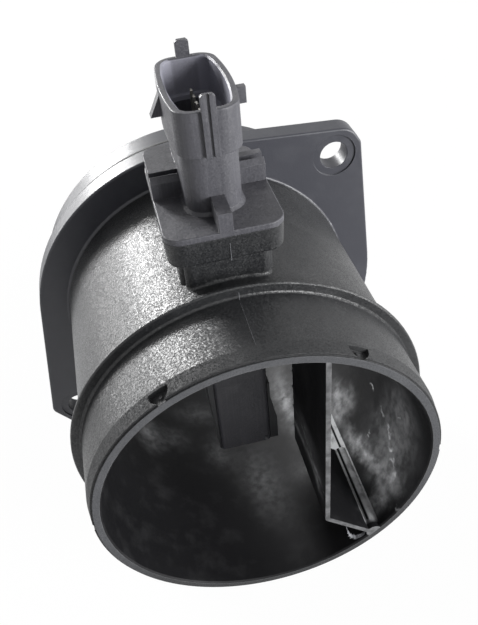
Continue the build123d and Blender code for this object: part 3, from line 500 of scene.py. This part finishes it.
def makePartingLine():
    # a low triangular ridge carried along a straight run: its section is (-w, -s), (0, h), (w, -s)
    # across the run and out of the surface, h fades to 0 at both ends, and the ends are closed
    f = partingLine
    run = np.linspace(0, 1, f["steps"])[:, None]
    fade = np.minimum(1, f["fade"] * np.minimum(run, 1 - run))
    side = np.array([f["halfWidth"], 0, 0])
    step = np.arange(f["steps"] - 1)[:, None] * 3
    last = 3 * (f["steps"] - 1)
    ends = np.array([[0, 2, 1], [last, last + 1, last + 2]])
    points, faces = [], []
    for number, (start, end, outward) in enumerate(f["runs"]):
        line = (1 - run) * np.array(start) + run * np.array(end)
        out = np.array(outward, float)
        uneven = f["level"] + f["swing"] * np.sin(line[:, 1:2] * f["swingY"] + line[:, 2:] * f["swingZ"])
        ridge = np.stack([
            line - side - f["sink"] * out,
            line + out * f["height"] * fade * uneven,
            line + side - f["sink"] * out,
        ], axis=1)
        points.append(ridge.reshape(-1, 3))
        base = number * 3 * f["steps"]
        for a, b in [(0, 1), (1, 2), (2, 0)]:
            faces.append(base + np.hstack([step + a, step + b, step + b + 3, step + a + 3]))
        faces.append(base + ends)
    return addPiece("partingLine", points, faces, flashNylon)


# thin torn ribbon of flash that hangs in a loop under the partition's foot, at the mouth; mm
footFlash = {
    "start": (19.9, -26.2), "end": (26.2, -31.4),  # x and z of the foot's underside
    "edgeX": (19.9, 20.1, 20.6, 21.4, 22.6, 24.4, 26.2),
    "edgeZ": (-26.2, -28.2, -30.6, -33.0, -33.7, -32.5, -31.4),
    "mouth": -81.3, "thick": 0.22, "lean": 1.1, "wave": 0.3,
    "waveAlong": 11, "waveDown": 2,  # radians over the ribbon's length and depth
    "torn": 0.14, "tears": [(43, 1), (97, 0)],  # radians over the length, and where each sine starts
    "rim": 0.83, "steps": 90, "rows": 7,
}


def makeFootFlash():
    # a ribbon over (along, down): down 0 would be the foot's underside and down 1 is the free edge, a
    # listed curve that two sines tear; a straight mix of the two lies between, and only down from
    # rim to 1 is kept. Its Y leans by a half sine over down, with a small wave over both
    f = footFlash
    along, down = np.meshgrid(
        np.linspace(0, 1, f["steps"]), np.linspace(f["rim"], 1, f["rows"]), indexing="ij",
    )
    stations = np.linspace(0, 1, len(f["edgeX"]))
    tears = sum(np.sin(rate * along + phase) for rate, phase in f["tears"])
    torn = f["torn"] * tears * np.sin(np.pi * along)
    edgeX = np.interp(along, stations, f["edgeX"]) + torn
    edgeZ = np.interp(along, stations, f["edgeZ"]) + torn
    footX = f["start"][0] + (f["end"][0] - f["start"][0]) * along
    footZ = f["start"][1] + (f["end"][1] - f["start"][1]) * along
    x = footX + (edgeX - footX) * down
    z = footZ + (edgeZ - footZ) * down
    wave = f["wave"] * np.sin(f["waveAlong"] * along + f["waveDown"] * down) * down
    y = f["mouth"] + f["lean"] * np.sin(np.pi * down) + wave + f["wave"]
    front = np.stack([x, y, z], axis=-1).reshape(-1, 3)
    back = front + np.array([0, f["thick"], 0])
    count = len(front)
    index = np.arange(count).reshape(along.shape)
    quads = np.stack([index[:-1, :-1], index[1:, :-1], index[1:, 1:], index[:-1, 1:]], axis=-1)
    quads = quads.reshape(-1, 4)
    edge = np.concatenate([index[:, 0], index[-1, 1:], index[-2::-1, -1], index[0, -2:0:-1]])
    after = np.roll(edge, -1)
    rim = np.stack([edge, after, after + count, edge + count], axis=-1)
    return addPiece("footFlash", [front, back], [quads, quads[:, ::-1] + count, rim], flashNylon)


# small burrs: four on the partition's rear edge and one low on the finger's front. The last two lie
# wholly under the finger's skin and don't show. mm
burrs = {
    # x, y, z and radius
    "places": [
        (13.75, -53.9, 2.9, 0.32), (13.75, -53.9, -4.8, 0.3), (13.75, -53.9, -12.8, 0.3),
        (13.75, -53.9, 8.8, 0.24), (5.9, -51.2, -19.3, 0.45), (6.3, -50.4, -14.6, 0.3),
        (6.3, -50.4, -6.2, 0.3),
    ],
    "deep": 1.2, "tall": 1.5,  # half sizes in Y and Z, as a share of the radius
    "ripple": 0.15, "ripples": 3, "rings": 9, "spokes": 14,
}


def makeBurrs():
    # each burr is an egg of radius r over (v, u): (cos u sin v, deep * sin u sin v, tall * cos v), where
    # r swells by ripple * sin(ripples * u + number) * sin v, and a single point closes each pole
    f = burrs
    v = np.linspace(0, np.pi, f["rings"] + 2)[1:-1, None]
    u = np.linspace(0, 2 * np.pi, f["spokes"], endpoint=False)[None, :]
    index = np.arange(f["rings"] * f["spokes"]).reshape(f["rings"], f["spokes"])
    beside = np.roll(index, -1, axis=1)
    walls = np.stack([index[:-1], index[1:], beside[1:], beside[:-1]], axis=-1).reshape(-1, 4)
    top = np.full(f["spokes"], index.size)
    caps = np.concatenate([
        np.stack([top, index[0], beside[0]], axis=-1),
        np.stack([top + 1, beside[-1], index[-1]], axis=-1),
    ])
    points, faces = [], []
    for number, (x, y, z, r) in enumerate(f["places"]):
        bulge = r * (1 + f["ripple"] * np.sin(f["ripples"] * u + number) * np.sin(v))
        egg = np.stack([
            bulge * np.cos(u) * np.sin(v),
            f["deep"] * bulge * np.sin(u) * np.sin(v),
            f["tall"] * bulge * np.cos(v),
        ], axis=-1).reshape(-1, 3)
        poles = np.array([[0, 0, f["tall"] * r], [0, 0, -f["tall"] * r]])
        points.append(np.concatenate([egg, poles]) + [x, y, z])
        base = number * (index.size + len(poles))
        faces += [base + walls, base + caps]
    return addPiece("mouldingBurrs", points, faces, flashNylon)


makePartingLine()
makeFootFlash()
makeBurrs()
print("parting line, flash and burrs made")


# the floor: its side in metres, and how much of its own white it shows in place of light and shadow
stand = {"side": 6.0, "colour": "#e9e9ea", "show": 0.97}


def makeFloor():
    s = stand["side"] / 2
    low = cadBox[0][2]
    mesh = bpy.data.meshes.new("floor")
    mesh.from_pydata([(-s, -s, low), (s, -s, low), (s, s, low), (-s, s, low)], [], [(0, 1, 2, 3)])
    floor = bpy.data.objects.new("floor", mesh)
    bpy.context.scene.collection.objects.link(floor)
    material, tree = newMaterial("paintedFloor")
    path = addNode(tree, "LightPath").outputs
    coat = addNode(tree, "BsdfDiffuse", {"Color": linear(stand["colour"])})
    glow = addNode(tree, "Emission", {"Color": (1, 1, 1, 1), "Strength": 1.0})
    # the floor shows pale to the eye and in reflections, and keeps part of the duct's shadow
    clear = addNode(tree, "Math", {0: path["Is Camera Ray"], 1: path["Is Glossy Ray"]}, operation="ADD")
    clear = addNode(tree, "Math", {0: clear, 1: path["Is Transmission Ray"]}, operation="ADD", use_clamp=True)
    seen = addNode(tree, "Math", {0: clear, 1: stand["show"]}, operation="MULTIPLY")
    addNode(tree, "OutputMaterial", {"Surface": addNode(tree, "MixShader", {0: seen, 1: coat, 2: glow})})
    mesh.materials.append(material)


# area lamps: azimuth from +Y towards +X and height in degrees, distance and side in metres, watts
lamps = {
    "windowBehindLeft": (-28, 23, 1.3, 0.26, 23.0),
    "windowLeft": (-46, 8, 1.3, 0.4, 6.0),
    "ceilingBehind": (-15, 42, 1.3, 0.8, 0.8),
    "wallRight": (92, 14, 1.3, 0.6, 8.0),
    "wallFrontRight": (136, 12, 1.3, 0.6, 30.0),
    "ceilingFront": (160, 40, 1.3, 0.8, 1.5),
}


def makeLamps():
    for name, (azimuth, height, distance, side, power) in lamps.items():
        turn, rise = math.radians(azimuth), math.radians(height)
        away = Vector((math.cos(rise) * math.sin(turn), math.cos(rise) * math.cos(turn), math.sin(rise)))
        lamp = bpy.data.lights.new(name, "AREA")
        lamp.shape = "SQUARE"
        lamp.size = side
        lamp.energy = power
        holder = bpy.data.objects.new(name, lamp)
        holder.location = away * distance
        holder.rotation_euler = (-away).to_track_quat("-Z", "Y").to_euler()
        bpy.context.scene.collection.objects.link(holder)


# the room's white: its strength as a light, and to the eye and in reflections
room = {"light": 0.1, "seen": 1.0}


def makeWorld():
    world = bpy.data.worlds.new("studio")
    world.use_nodes = True
    tree = world.node_tree
    tree.nodes.clear()
    path = addNode(tree, "LightPath").outputs
    clear = addNode(tree, "Math", {0: path["Is Camera Ray"], 1: path["Is Glossy Ray"]}, operation="ADD")
    clear = addNode(tree, "Math", {0: clear, 1: path["Is Transmission Ray"]}, operation="ADD", use_clamp=True)
    strength = addNode(tree, "MapRange", {"Value": clear, "To Min": room["light"], "To Max": room["seen"]})
    sky = addNode(tree, "Background", {"Color": (1, 1, 1, 1), "Strength": strength})
    addNode(tree, "OutputWorld", {"Surface": sky})
    bpy.context.scene.world = world


view = {
    "place": (-20.475, -184.956, 147.689),  # mm
    "turn": (48.883, 5.686, -11.575),  # degrees about X, Y and Z
    "lens": 41.85, "film": 36.0, "shift": (0.0414, 0.0050),
    "near": 5.0,  # mm, where the view starts
}


def makeCamera():
    data = bpy.data.cameras.new("camera")
    data.lens = view["lens"]
    data.sensor_width = view["film"]
    data.shift_x, data.shift_y = view["shift"]
    data.clip_start = view["near"] * mm
    camera = bpy.data.objects.new("camera", data)
    camera.location = [v * mm for v in view["place"]]
    camera.rotation_euler = [math.radians(a) for a in view["turn"]]
    bpy.context.scene.collection.objects.link(camera)
    bpy.context.scene.camera = camera


makeFloor()
makeWorld()
makeLamps()
makeCamera()
bpy.context.scene.view_settings.view_transform = "Standard"
print("floor, lights and camera set")
